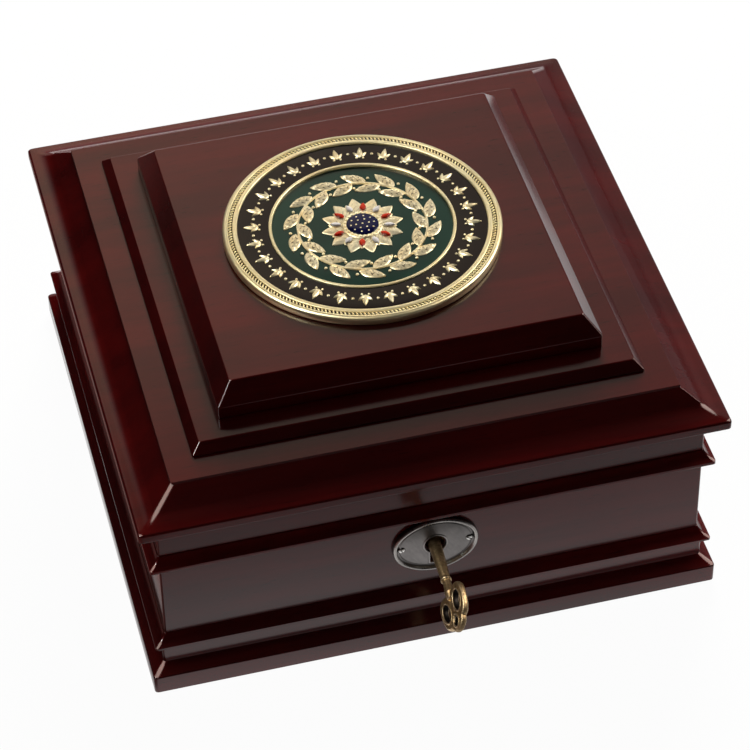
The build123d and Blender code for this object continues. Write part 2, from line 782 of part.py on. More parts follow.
band_middle = (band_outer + band_inner) / 2
lozenge = extrude(
    Rot(0, 0, 45) * Rectangle(2 * band_bead_radius, 2 * band_bead_radius),
    amount=band_bead_radius / 2,
    taper=50,
)
band_studs = [
    on_lid * Rot(0, 0, 360 * i / band_bead_count) * Pos(band_middle, 0, band_level) * lozenge
    for i in range(band_bead_count)
]
leaf = extrude(petal_outline(wreath_leaf_length, wreath_leaf_width), amount=wreath_leaf_height)
wreath = []
for i in range(wreath_leaf_pairs):
    for side in (-1, 1):
        along = 360 * (i + 0.25 * side) / wreath_leaf_pairs
        place = Rot(0, 0, along) * Pos(wreath_radius + side * wreath_leaf_spread, 0, field_level)
        wreath.append(on_lid * place * Rot(0, 0, 90 - side * wreath_leaf_splay) * leaf)
petal = extrude(petal_outline(rosette_radius, rosette_petal_width), amount=rosette_height)
rosette = Pos(0, 0, field_level) * extrude(Circle(boss_radius + 1), amount=rosette_height)
for i in range(rosette_petals):
    rosette += Rot(0, 0, 360 * i / rosette_petals) * Pos(rosette_radius / 2, 0, field_level) * petal
rosette = on_lid * rosette
boss = on_lid * Pos(0, 0, field_level + rosette_height) * turned([
    (0, 0),
    (boss_radius, 0),
    (boss_crown_radius, boss_height),
    (0, boss_height),
])

# ---- Every piece, under the name of its node ----
nodes = {
    "base_board": base_board,
    "base_felt": base_felt,
    "floor_lining": floor_lining,
    "lid_board": lid_board,
    "middle_panel": middle_panel,
    "top_panel": top_panel,
    "lid_lining": lid_lining,
    "hinge_screws_lower": hinge_screws_lower,
    "hinge_screws_upper": hinge_screws_upper,
    "lock_plate": lock_plate,
    "lock_cap": lock_cap,
    "lock_screws": lock_screws,
    "bolt": bolt,
    "strike_plate": strike_plate,
    "strike_screws": strike_screws,
    "escutcheon": escutcheon,
    "escutcheon_screws": escutcheon_screws,
    "key": key,
    "medallion_disc": medallion_disc,
    "enamel_band": enamel_band,
    "enamel_field": enamel_field,
    "band_studs": band_studs,
    "wreath": wreath,
    "rosette": rosette,
    "boss": boss,
}
for side in SIDES:
    nodes["wall_" + side] = wall[side]
    nodes["plinth_moulding_" + side] = plinth_moulding[side]
    nodes["wall_lining_" + side] = wall_lining[side]
    nodes["lid_rail_" + side] = lid_rail[side]
    nodes["lid_bead_" + side] = lid_bead[side]
    nodes["lid_side_lining_" + side] = lid_side_lining[side]
for side in ("left", "right"):
    nodes["hinge_leaf_lower_" + side] = hinge_leaf_lower[side]
    nodes["hinge_leaf_upper_" + side] = hinge_leaf_upper[side]
    nodes["hinge_pin_" + side] = hinge_pin[side]

os.makedirs("parts", exist_ok=True)
for name, shape in nodes.items():
    solids = shape if isinstance(shape, list) else [shape]
    pieces = [solid for piece in solids for solid in piece.solids()]
    export_step(Compound(children=pieces) if len(pieces) > 1 else pieces[0], "parts/" + name + ".step")
print(len(nodes), "nodes")
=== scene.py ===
from math import atan2, copysign, cos, hypot, pi, radians, sin, sqrt

import bmesh
import bpy
from mathutils import Matrix, Vector


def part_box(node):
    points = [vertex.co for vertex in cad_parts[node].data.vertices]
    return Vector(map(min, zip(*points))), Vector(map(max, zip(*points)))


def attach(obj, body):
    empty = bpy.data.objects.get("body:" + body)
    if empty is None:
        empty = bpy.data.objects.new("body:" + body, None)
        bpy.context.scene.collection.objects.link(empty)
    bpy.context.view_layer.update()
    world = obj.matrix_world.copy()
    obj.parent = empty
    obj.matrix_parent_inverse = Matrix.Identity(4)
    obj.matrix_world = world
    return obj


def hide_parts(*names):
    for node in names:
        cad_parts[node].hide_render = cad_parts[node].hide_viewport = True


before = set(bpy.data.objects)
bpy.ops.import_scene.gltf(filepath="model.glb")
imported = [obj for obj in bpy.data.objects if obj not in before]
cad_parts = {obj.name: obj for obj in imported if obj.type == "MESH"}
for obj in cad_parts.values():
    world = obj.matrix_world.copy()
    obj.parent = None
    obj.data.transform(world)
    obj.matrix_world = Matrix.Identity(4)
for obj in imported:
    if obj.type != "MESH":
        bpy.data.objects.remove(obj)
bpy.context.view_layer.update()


# ---- The table it stands on, and the studio round it ----
# A white table that the camera sees plain white. In the lacquer it shows a painted reflection: bright
# close to the box's front and dim further out, with a dull red cloth on its left that is seen only in
# reflections. A warm screen behind mirrors in the flat lacquer, and the room's near side stays dark.
# An edge is a pair of places in metres: where it starts and where it ends.

MM = 0.001
white = (1, 1, 1, 1)
camera_place = Vector((-199.76, -821.69, 847.68)) * MM
camera_forward = Vector((0.17293, 0.69893, -0.69397))
camera_up = Vector((0.18308, 0.66949, 0.71990))
lens_length = 156.02
sensor_width = 36.0
floor_size = 8.0
floor_colour = (0.93, 0.93, 0.93, 1)
floor_glow = 0.97
table_bright = 1.2
table_dim = 0.42
bright_edge_y = (-0.175, -0.10)
right_fade_x = (-0.07, 0.08)
right_fade_loss = 0.30
mirrored_cloth_edge_x = (-0.112, -0.098)
mirrored_cloth_colour = (0.30, 0.145, 0.13, 1)


class Wire:
    """One output of a node. Sums of wires add Math nodes, and node() adds any other node."""

    def __init__(self, socket):
        self.socket = socket

    def node(self, kind, settings=None, values=None, output=0):
        """Add a node: its settings first, then its sockets by name or number."""
        tree = self.socket.id_data
        made = tree.nodes.new("ShaderNode" + kind)
        for name, value in (settings or {}).items():
            setattr(made, name, value)
        for name, value in (values or {}).items():
            if isinstance(value, Wire):
                tree.links.new(value.socket, made.inputs[name])
            else:
                made.inputs[name].default_value = value
        return Wire(made.outputs[output])

    def maths(self, operation, first, second=0.0):
        return self.node("Math", {"operation": operation}, {0: first, 1: second})

    def __add__(self, other):
        return self.maths("ADD", self, other)

    __radd__ = __add__

    def __sub__(self, other):
        return self.maths("SUBTRACT", self, other)

    def __rsub__(self, other):
        return self.maths("SUBTRACT", other, self)

    def __mul__(self, other):
        return self.maths("MULTIPLY", self, other)

    __rmul__ = __mul__

    def __gt__(self, other):
        return self.maths("GREATER_THAN", self, other)

    def __abs__(self):
        return self.maths("ABSOLUTE", self)

    def larger(self, other):
        return self.maths("MAXIMUM", self, other)

    def between(self, low, high):
        """0 below low, 1 above high and smooth between them."""
        values = {"Value": self, "From Min": low, "From Max": high}
        return self.node("MapRange", {"interpolation_type": "SMOOTHSTEP"}, values)

    def blend(self, first, second):
        """The first colour where this wire is 0 and the second where it is 1."""
        return self.node("Mix", {"data_type": "RGBA"}, {0: self, 6: first, 7: second}, output=2)

    def noise(self, scale, detail=2.0, roughness=0.5):
        """Noise, from 0 to 1, on a place."""
        values = {"Vector": self, "Scale": scale, "Detail": detail, "Roughness": roughness}
        return self.node("TexNoise", values=values)

    def bump(self, strength, distance):
        """A slightly dented surface, with this wire as its height."""
        return self.node("Bump", values={"Strength": strength, "Distance": distance, "Height": self})

    def parts(self):
        """The three numbers of a place."""
        split = self.node("SeparateXYZ", values={0: self}).socket.node
        return [Wire(output) for output in split.outputs]

    def at(self, x, y, z):
        """A place made of three numbers."""
        return self.node("CombineXYZ", values={0: x, 1: y, 2: z})

    def feed(self, shader, **sockets):
        """Link wires to named sockets of a shader, where an underscore stands for a space."""
        for name, value in sockets.items():
            self.socket.id_data.links.new(value.socket, shader.inputs[name.replace("_", " ")])


def new_finish(name, **constants):
    """A material with one main shader: the material, its shader, and a wire with the object's own places."""
    material = bpy.data.materials.new(name)
    material.use_nodes = True
    nodes = material.node_tree.nodes
    shader = nodes["Principled BSDF"]
    for socket, value in constants.items():
        shader.inputs[socket.replace("_", " ")].default_value = value
    return material, shader, Wire(nodes.new("ShaderNodeTexCoord").outputs["Object"])


def new_object(name, bm, material):
    """Turn a bmesh into an object with one material, and put it in the scene."""
    mesh = bpy.data.meshes.new(name)
    bm.to_mesh(mesh)
    bm.free()
    mesh.materials.append(material)
    made = bpy.data.objects.new(name, mesh)
    bpy.context.scene.collection.objects.link(made)
    return made


floor_material, floor_shader, floor_place = new_finish(
    "white_sweep", Base_Color=floor_colour, Roughness=0.9, Specular_IOR_Level=0.0
)
sight = floor_place.node("LightPath", output="Is Camera Ray")
seen = sight.larger(sight.node("LightPath", output="Is Glossy Ray"))
seen = seen.larger(sight.node("LightPath", output="Is Transmission Ray"))
floor_x, floor_y = floor_place.parts()[:2]
# Painted reflection: the table's glow to mirrored rays, bright near the box's front and dim further out.
close_by = floor_y.between(*bright_edge_y) * (table_bright - table_dim)
table_level = close_by * (1 - floor_x.between(*right_fade_x) * right_fade_loss) + table_dim
# Painted reflection: a dull red cloth in the floor's glow, seen only by mirrored rays.
on_mirrored_cloth = 1 - floor_x.between(*mirrored_cloth_edge_x)
glow_colour = sight.blend(on_mirrored_cloth.blend(white, mirrored_cloth_colour), white)
glow_level = sight + (1 - sight) * on_mirrored_cloth.larger(table_level * (1 - on_mirrored_cloth))
glow = seen.node("Emission", values={"Color": glow_colour, "Strength": glow_level})
paint = Wire(floor_shader.outputs[0])
white_floor = seen.node("MixShader", values={0: seen * floor_glow, 1: paint, 2: glow})
white_floor.feed(floor_material.node_tree.nodes["Material Output"], Surface=white_floor)
floor_mesh = bmesh.new()
bmesh.ops.create_grid(floor_mesh, x_segments=1, y_segments=1, size=floor_size / 2)
floor = new_object("white_sweep", floor_mesh, floor_material)

camera_data = bpy.data.cameras.new("camera")
camera_data.lens = lens_length
camera_data.sensor_width = sensor_width
camera = bpy.data.objects.new("camera", camera_data)
bpy.context.scene.collection.objects.link(camera)
camera_right = camera_forward.cross(camera_up)
camera_turn = Matrix((camera_right, camera_up, -camera_forward)).transposed()
camera.matrix_world = Matrix.Translation(camera_place) @ camera_turn.to_4x4()
bpy.context.scene.camera = camera
bpy.context.scene.view_settings.view_transform = "Standard"

box_middle = Vector((0, 0, 0.05))
warm_light = (1.0, 0.93, 0.82)


def lamp(name, place, size, power, colour=(1, 1, 1), mirrored=True, lights=True):
    """A square soft lamp that points at the box. Its place and its size are in metres."""
    data = bpy.data.lights.new(name, "AREA")
    data.shape = "SQUARE"
    data.size = size
    data.energy = power
    data.color = colour
    made = bpy.data.objects.new(name, data)
    bpy.context.scene.collection.objects.link(made)
    made.location = place
    made.rotation_euler = (box_middle - Vector(place)).to_track_quat("-Z", "Y").to_euler()
    made.visible_glossy = mirrored
    made.visible_diffuse = lights


lamp("key", (0.50, 1.48, 0.79), size=0.8, power=54, colour=(1.0, 0.97, 0.93), mirrored=False)
lamp("left_window", (-1.16, -0.23, 1.33), size=0.26, power=9, colour=(0.84, 1.0, 1.0), lights=False)
lamp("left_fill", (-0.90, -0.50, 1.00), size=0.60, power=1.1, mirrored=False)
lamp("upper_left_panel", (-0.72, 0.10, 1.40), size=0.9, power=16, colour=warm_light, lights=False)
lamp("right_panel", (1.10, 0.20, 1.05), size=0.9, power=16, colour=warm_light, lights=False)

room_level = 0.012
screen_level = 1.12
screen_colour = (1.0, 0.86, 0.66, 1)
screen_top_z = (0.70, 0.735)
screen_foot_z = (-0.05, 0.52)
screen_left_x = (-0.40, -0.10)
screen_right_x = (0.0, 0.45)
screen_right_loss = 0.7
screen_behind_y = (0.0, 0.3)
world = bpy.data.worlds.new("studio")
bpy.context.scene.world = world
world.use_nodes = True
world_nodes = world.node_tree.nodes
heading = Wire(world_nodes.new("ShaderNodeTexCoord").outputs["Generated"])
world_x, world_y, world_z = heading.parts()
screen = (
    (1 - world_z.between(*screen_top_z))
    * world_z.between(*screen_foot_z)
    * world_x.between(*screen_left_x)
    * (1 - world_x.between(*screen_right_x) * screen_right_loss)
    * world_y.between(*screen_behind_y)
)
room_seen = heading.node("LightPath", output="Is Camera Ray")
studio_level = screen * (screen_level - room_level) + room_level
sky_level = room_seen + (1 - room_seen) * studio_level
sky_colour = room_seen.blend(screen.blend(white, screen_colour), white)
sky_level.feed(world_nodes["Background"], Strength=sky_level, Color=sky_colour)


# ---- Base board ----
# One mahogany board with a rounded upper edge, sealed and sprayed with the same dark, satin-gloss
# lacquer as all the wood. Its arrises are eased, so the lacquer draws a thin bright line there.

lid_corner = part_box("lid_board")[1]
half_width, half_depth = lid_corner.x / MM, lid_corner.y / MM
base_low, base_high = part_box("base_board")
base_foot = base_low.z / MM
base_inset = 1.3
base_edge_height = 7.4
base_edge_round = 0.5
base_height = 10.3
band_inset = 5.6
same_place = 0.01
sharp_angle = radians(28)
wood_dark = (0.052, 0.0010, 0.0012, 1)
wood_mid = (0.095, 0.0020, 0.0020, 1)
wood_pore = (0.014, 0.0006, 0.0006, 1)
# The mouldings' mahogany is the wood's own colour made lighter and redder: painted light for the red glow
# where light catches their slopes.
moulding_glow_dark = (0.060, 0.0010, 0.0012, 1)
moulding_glow_mid = (0.115, 0.0018, 0.0020, 1)


def mahogany(name, mitred, dark=wood_dark, mid=wood_mid):
    """Lacquered mahogany, its grain along each side of a mitred frame, or along X in a board."""
    material, shader, place = new_finish(
        name,
        Metallic=0.25,
        Roughness=0.36,
        Specular_IOR_Level=0.0,
        Coat_Weight=1.0,
        Coat_Roughness=0.15,
        Coat_IOR=1.45,
    )
    x, y, z = place.parts()
    along, across = x, y
    if mitred:
        front = abs(y) > abs(x)
        along = front * x + (1 - front) * y
        across = front * y + (1 - front) * x

    def grain(lengthwise, crosswise, detail):
        """Noise drawn out along the grain."""
        return place.at(along * lengthwise, across * crosswise, z * crosswise).noise(1.0, detail, 0.6)

    figure = grain(7, 60, 4.0)
    cloud = place.noise(14.0)
    pores = grain(130, 1500, 2.0).between(0.60, 0.74)
    tone = (figure * 0.75 + cloud * 0.25).between(0.35, 0.66)
    colour = (pores * 0.45).blend(tone.blend(dark, mid), wood_pore)
    ripple = place.noise(260.0) * 0.6 - pores * 0.4
    colour.feed(shader, Base_Color=colour, Normal=ripple.bump(0.10, 0.0002))
    return material


mahogany_frame = mahogany("mahogany_frame", True)
mahogany_board = mahogany("mahogany_board", False)
mouldings_painted_glow = mahogany("mahogany_mouldings_painted_glow", True, moulding_glow_dark, moulding_glow_mid)


def arc(start, middle, end, steps=6):
    """Points along a shallow curve through three points, the first left out."""
    points = []
    for i in range(1, steps + 1):
        t = i / steps
        weights = ((1 - t) * (1 - 2 * t), 4 * t * (1 - t), t * (2 * t - 1))
        points.append(tuple(sum(w * p[k] for w, p in zip(weights, (start, middle, end))) for k in (0, 1)))
    return points


def rounded_corner(inset, height, radius, steps=4):
    """Points of a quarter round at an outer upper corner, from the upright face to the level one."""
    turns = [i / steps * pi / 2 for i in range(steps + 1)]
    return [(inset + radius * (1 - cos(t)), height + radius * (sin(t) - 1)) for t in turns]


def raise_loops(bm, levels, put):
    """Raise a loop of edges level by level, where put() moves each corner. The first and last loop."""
    first = loop = bm.edges[:]
    for number, level in enumerate(levels):
        if number:
            made = bmesh.ops.extrude_edge_only(bm, edges=loop)["geom"]
            loop = [item for item in made if isinstance(item, bmesh.types.BMEdge)]
        for vert in {vert for edge in loop for vert in edge.verts}:
            put(vert, *level)
    return first, loop


def inset_of(vert):
    """How far in from the lid board's edge a corner of a mesh is, in millimetres."""
    return half_width - abs(vert.co.x) / MM


def is_hip(edge):
    """Whether an edge runs up an outer corner."""
    first, second = (vert.co for vert in edge.verts)
    same_corner = first.x * second.x > 0 and first.y * second.y > 0
    return same_corner and all(
        abs(half_width - abs(co.x) / MM - half_depth + abs(co.y) / MM) < same_place for co in (first, second)
    )


def round_edges(bm, edges, width, segments=4):
    """Round some edges over, by a width in millimetres."""
    bmesh.ops.bevel(
        bm, geom=edges, offset=width * MM, offset_type="OFFSET", segments=segments, profile=0.5,
        affect="EDGES", clamp_overlap=True, material=-1,
    )


def moulding(points, foot, hip_round, hollow=False, hip_depths=(12, 12)):
    """Lacquered work with one outline on all four sides, as loops raised one by one from its foot.

    The points are (inset, height) in millimetres. A hollow one closes back on its first loop. The hips
    are rounded as far in as the first depth at front left and back right, and the second elsewhere.
    """

    def put(vert, inset, height):
        vert.co.x = copysign(half_width - inset, vert.co.x) * MM
        vert.co.y = copysign(half_depth - inset, vert.co.y) * MM
        vert.co.z = (foot + height) * MM

    bm = bmesh.new()
    bmesh.ops.create_grid(bm, x_segments=1, y_segments=1, size=1)
    bmesh.ops.delete(bm, geom=bm.faces[:], context="FACES_ONLY")
    first, last = raise_loops(bm, points, put)
    if hollow:
        bmesh.ops.bridge_loops(bm, edges=first + last)
    else:
        bmesh.ops.edgeloop_fill(bm, edges=first)
        bmesh.ops.edgeloop_fill(bm, edges=last)
    bmesh.ops.recalc_face_normals(bm, faces=bm.faces)
    outer = min(inset for inset, height in points)
    hips = []
    for edge in filter(is_hip, bm.edges):
        outer_end = min(edge.verts, key=inset_of)
        depth = hip_depths[0] if outer_end.co.x * outer_end.co.y > 0 else hip_depths[1]
        if inset_of(outer_end) < outer + depth:
            hips.append(edge)
    round_edges(bm, hips, hip_round)
    return bm


def ease_arrises(piece, width):
    """Round every sharp edge of a piece a little, and shade its flats flat and its rounds smooth."""
    piece.data.shade_smooth()
    bevel = piece.modifiers.new("arrises", "BEVEL")
    bevel.width = width * MM
    bevel.segments = 3
    bevel.limit_method = "ANGLE"
    bevel.angle_limit = sharp_angle
    bevel.harden_normals = True
    return piece


def install(piece, body, slot, *nodes):
    """A finished piece rides on a body and stands for CAD nodes, which it hides. Its slot is not used."""
    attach(piece, body)
    if nodes:
        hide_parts(*nodes)
    return piece


base_points = [
    (base_inset, 0.0),
    *rounded_corner(base_inset, base_edge_height, base_edge_round),
    (band_inset, base_height),
]
base = new_object("base_board_lacquered", moulding(base_points, base_foot, hip_round=1.3), mouldings_painted_glow)
install(ease_arrises(base, width=0.25), "box", "mahogany_lacquer", "base_board")


# ---- Moulding round the foot of the walls ----
# Four mitred lengths of one moulding: an upright band, and on it a bead with a small lip and a
# hollow top that runs up into the wall. It is glued and pinned to the base and the walls.

sides = ("front", "back", "left", "right")
base_top = base_high.z / MM
wall_inset = 7.0
band_height = 8.4
bead_inset = 3.05
bead_ease = 0.3
bead_lip = band_height + 1.2
bead_end = wall_inset - 0.3
plinth_height = 12.8
hollow_depth = 0.35
hollow_middle = (
    (bead_inset + bead_end) / 2 + hollow_depth,
    (bead_lip + plinth_height) / 2 - hollow_depth,
)
plinth_points = [
    (band_inset, 0.0),
    (band_inset, band_height),
    (bead_inset + bead_ease, band_height),
    (bead_inset, band_height + bead_ease),
    (bead_inset, bead_lip),
    *arc((bead_inset, bead_lip), hollow_middle, (bead_end, plinth_height)),
    (wall_inset, plinth_height),
    (wall_inset, 0.0),
]
plinth_bm = moulding(plinth_points, base_top, hip_round=0.8, hollow=True)
plinth = new_object("plinth_moulding", plinth_bm, mouldings_painted_glow)
plinth_nodes = ["plinth_moulding_" + side for side in sides]
install(ease_arrises(plinth, width=0.18), "box", "mahogany_lacquer", *plinth_nodes)


# ---- Walls ----
# Four boards mitred at the corners and glued, with the lock's mortise, the keyhole and the two
# hinge recesses cut in them. The outer corners are rounded over a little before lacquering.

weld = 0.002 * MM
flat_angle = radians(0.5)


def clean_copy(*nodes):
    """CAD pieces copied into one bmesh, with their doubles merged."""
    bm = bmesh.new()
    for node in nodes:
        bm.from_mesh(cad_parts[node].data)
    bmesh.ops.remove_doubles(bm, verts=bm.verts, dist=weld)
    return bm


def shade(piece, sharpest):
    """Shade a piece smooth, apart from the edges sharper than an angle in degrees."""
    piece.data.shade_smooth()
    piece.data.set_sharp_from_angle(angle=radians(sharpest))
    return piece


def joined_boards(name, nodes, corner_round, body, material=mahogany_frame):
    """Four mitred boards as one closed ring: glue faces taken out, outer corners rounded over."""
    bm = clean_copy(*nodes)
    bm.normal_update()
    glued = [
        face for face in bm.faces
        if all(abs(abs(vert.co.x) - abs(vert.co.y)) < same_place * MM for vert in face.verts)
        and abs(abs(face.normal.x) - abs(face.normal.y)) < 0.01 and abs(face.normal.z) < 0.01
    ]
    bmesh.ops.delete(bm, geom=glued, context="FACES")
    bmesh.ops.remove_doubles(bm, verts=bm.verts, dist=weld)
    bmesh.ops.dissolve_limit(bm, angle_limit=flat_angle, verts=bm.verts, edges=bm.edges)
    corners = [edge for edge in filter(is_hip, bm.edges) if inset_of(edge.verts[0]) < wall_inset + 1]
    round_edges(bm, corners, corner_round)
    ring = shade(new_object(name, bm, material), sharpest=30)
    return install(ring, body, "mahogany_lacquer", *nodes)


joined_boards("walls", ["wall_" + side for side in sides], 0.6, "box")


# ---- Lid rails and their bead ----
# The lid's four mitred rails, with a bead glued round their foot that shadows the parting line.
# Two notches in the back bead clear the hinge barrels.

joined_boards("lid_rails", ["lid_rail_" + side for side in sides], 0.6, "lid")
lid_bead = joined_boards("lid_bead", ["lid_bead_" + side for side in sides], 0.8, "lid", mouldings_painted_glow)
ease_arrises(lid_bead, width=0.15)


# ---- Lid board and the two panels on it ----
# A solid board with a hollow cove worked round it, a thin panel with a small bevel, and a thick
# panel with a wide bevel that carries the medallion. All three are glued flat on each other.

lid_edge_height = 4.0
lid_edge_round = 0.9
cove_points = [
    (0.5, 0.0),
    (0.0, 0.5),
    *rounded_corner(0.0, lid_edge_height, lid_edge_round),
    *arc((lid_edge_round, lid_edge_height), (4.6, 4.6), (8.0, 6.35), steps=8),
    (14.2, 10.45),
    (14.2, 11.35),
]
thin_bevel_points = [(23.6, 0.0), (23.6, 0.8), (26.5, 3.8)]
wide_bevel_points = [(35.0, 0.0), (35.0, 5.1), (40.4, 11.6)]
whole_bevel = (12, 12)
slope_or_cove = (12, 7.9)
for node, name, outline, hip_round, hip_depths, arris in (
    ("lid_board", "lid_board_coved", cove_points, 1.3, slope_or_cove, 0.22),
    ("middle_panel", "middle_panel_lacquered", thin_bevel_points, 0.7, whole_bevel, 0.3),
    ("top_panel", "top_panel_lacquered", wide_bevel_points, 0.9, whole_bevel, 0.4),
):
    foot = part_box(node)[0].z / MM
    piece = new_object(name, moulding(outline, foot, hip_round, hip_depths=hip_depths), mahogany_board)
    install(ease_arrises(piece, arris), "lid", "mahogany_lacquer", node)


# ---- Velvet linings and the felt ----
# Card wrapped in black velvet, pushed in between the walls and into the lid, and a thin felt glued
# under the base. The velvet's pile catches light at its edges and where it has been brushed.

velvet_black = (0.004, 0.004, 0.005, 1)
velvet_brushed = (0.016, 0.015, 0.018, 1)
velvet, velvet_shader, velvet_place = new_finish(
    "black_velvet",
    Roughness=0.95,
    Specular_IOR_Level=0.1,
    Sheen_Weight=0.9,
    Sheen_Roughness=0.35,
    Sheen_Tint=(0.55, 0.55, 0.6, 1),
)
brushed = velvet_place.noise(22.0, 3.0, 0.6).between(0.35, 0.7)
pile = velvet_place.noise(2600.0)
velvet_colour = (brushed * 0.7 + pile * 0.3).blend(velvet_black, velvet_brushed)
velvet_colour.feed(velvet_shader, Base_Color=velvet_colour, Normal=pile.bump(0.5, 0.0003))

felt_dark = (0.006, 0.012, 0.009, 1)
felt_pale = (0.020, 0.036, 0.028, 1)
felt, felt_shader, felt_place = new_finish(
    "base_felt", Roughness=1.0, Specular_IOR_Level=0.05, Sheen_Weight=0.3
)
fibre = felt_place.noise(1400.0, 4.0, 0.7)
felt_colour = fibre.blend(felt_dark, felt_pale)
felt_colour.feed(felt_shader, Base_Color=felt_colour, Normal=fibre.bump(0.6, 0.0003))


def wrapped_card(node, body, edge_round):
    """A copy of a flat CAD piece with every edge rounded, as cloth turned over card rounds it."""
    bm = clean_copy(node)
    bmesh.ops.dissolve_limit(bm, angle_limit=flat_angle, verts=bm.verts, edges=bm.edges)
    round_edges(bm, bm.edges[:], edge_round, segments=3)
    piece = new_object(node + "_cloth", bm, velvet)
    piece.data.shade_smooth()
    install(piece, body, "velvet", node)


def refinish(material, *nodes):
    """Give CAD pieces whose shape is right their real finish."""
    for node in nodes:
        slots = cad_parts[node].data.materials
        slots.clear()
        slots.append(material)


wrapped_card("floor_lining", "box", edge_round=0.9)
wrapped_card("lid_lining", "lid", edge_round=0.7)
for side in sides:
    wrapped_card("wall_lining_" + side, "box", edge_round=0.6)
    wrapped_card("lid_side_lining_" + side, "lid", edge_round=0.6)
refinish(felt, "base_felt")


# ---- Hinges and lock ----
# Two pressed brass butt hinges and a small box lock with a brass plate, a folded cap and a steel
# bolt. Brass is brushed along its length and has darkened a little where it isn't touched.


def brushed_metal(name, pale, dark, roughness):
    """A metal with fine lines drawn along X, a cloud of tarnish and a soft sheen."""
    material, shader, place = new_finish(name, Metallic=1.0)
    x, y, z = place.parts()
    lines = place.at(x * 60, y * 2500, z * 2500).noise(1.0, 3.0, 0.6)
    cloud = place.noise(90.0, 3.0, 0.6).between(0.35, 0.7)
    colour = (cloud * 0.6 + lines * 0.4).blend(pale, dark)
    rough = cloud * 0.15 + lines * 0.1 + roughness
    colour.feed(shader, Base_Color=colour, Roughness=rough, Normal=lines.bump(0.15, 0.0001))
    return material


hinge_brass = brushed_metal("hinge_brass", (0.60, 0.42, 0.17, 1), (0.36, 0.23, 0.08, 1), roughness=0.22)
lock_brass = brushed_metal("lock_brass", (0.58, 0.40, 0.17, 1), (0.38, 0.25, 0.09, 1), roughness=0.25)
lock_steel = brushed_metal("lock_steel", (0.50, 0.50, 0.51, 1), (0.30, 0.30, 0.31, 1), roughness=0.28)
for side in ("left", "right"):
    refinish(hinge_brass, "hinge_leaf_lower_" + side, "hinge_leaf_upper_" + side, "hinge_pin_" + side)
refinish(lock_brass, "lock_plate", "lock_cap", "strike_plate")
refinish(lock_steel, "bolt")


# ---- Keyhole plate ----
# An oval plate, struck in one blow: a raised rounded rim with a groove inside it, a flat field and
# a lip round the keyhole, silvered and then antiqued dark, with painted shade darkening it towards
# its top. Two domed screws hold it to the wall.

plate_low, plate_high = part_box("escutcheon")
plate_half_width = (plate_high.x - plate_low.x) / 2 / MM
plate_half_height = (plate_high.z - plate_low.z) / 2 / MM
plate_back = plate_high.y / MM
plate_centre_z = (plate_low.z + plate_high.z) / 2 / MM
plate_corners = 160
plate_field = 1.0
end_radius = 10.0
end_middle = plate_half_width - end_radius
flank_radius = (end_middle**2 + plate_half_height**2 - end_radius**2) / (2 * (plate_half_height - end_radius))
flank_shift = flank_radius - plate_half_height
keyhole_radius = 3.8
keyhole_slot_half = 1.8
keyhole_drop = 8.4


def oval(inset):
    """The four-arc outline of the plate at an inset, as a radius for each angle about its middle."""
    end, flank = end_radius - inset, flank_radius - inset
    stretch = end / hypot(end_middle, flank_shift)
    joint = atan2(flank_shift * stretch, end_middle * (1 + stretch))

    def reach(angle):
        across, up = abs(cos(angle)), abs(sin(angle))
        if atan2(up, across) < joint:
            return end_middle * across + sqrt(end**2 - (end_middle * up) ** 2)
        return sqrt(flank**2 - (flank_shift * across) ** 2) - flank_shift * up

    return reach


def keyhole(margin):
    """The keyhole's outline, grown by a margin, as a radius for each angle about its middle."""
    radius, half, drop = keyhole_radius + margin, keyhole_slot_half + margin, keyhole_drop + margin

    def reach(angle):
        if sin(angle) > -0.1:
            return radius
        return max(radius, min(half / max(abs(cos(angle)), 1e-6), drop / -sin(angle)))

    return reach


def closed_loops(levels, corners):
    """A closed piece from loops raised one by one, each a rule for its radius and a height."""

    def put(vert, radius, height):
        angle = atan2(vert.co.y, vert.co.x)
        vert.co = Vector((radius(angle) * cos(angle), radius(angle) * sin(angle), height)) * MM

    bm = bmesh.new()
    bmesh.ops.create_circle(bm, segments=corners, radius=1)
    first, last = raise_loops(bm, levels, put)
    bmesh.ops.bridge_loops(bm, edges=first + last)
    bmesh.ops.recalc_face_normals(bm, faces=bm.faces)
    return bm


rim_section = [
    (0.0, 0.0), (0.0, 1.1), (0.1, 1.5), (0.3, 1.8), (0.6, 1.95), (0.9, 1.95), (1.15, 1.8),
    (1.35, 1.5), (1.5, 1.1), (1.7, 0.8), (2.0, 0.7), (2.3, 0.8), (2.5, plate_field), (2.6, plate_field),
]
lip_section = [
    (0.85, plate_field), (0.75, plate_field), (0.6, 1.2), (0.4, 1.3), (0.15, 1.25), (0.0, 1.05), (0.0, 0.0),
]
plate_levels = [(oval(inset), height) for inset, height in rim_section]
plate_levels += [(keyhole(margin), height) for margin, height in lip_section]
plate_bm = closed_loops(plate_levels, plate_corners)
plate_middle = Matrix.Translation(Vector((0, plate_back, plate_centre_z)) * MM)
facing_front = plate_middle @ Matrix.Rotation(pi / 2, 4, "X")
bmesh.ops.transform(plate_bm, matrix=facing_front, verts=plate_bm.verts)

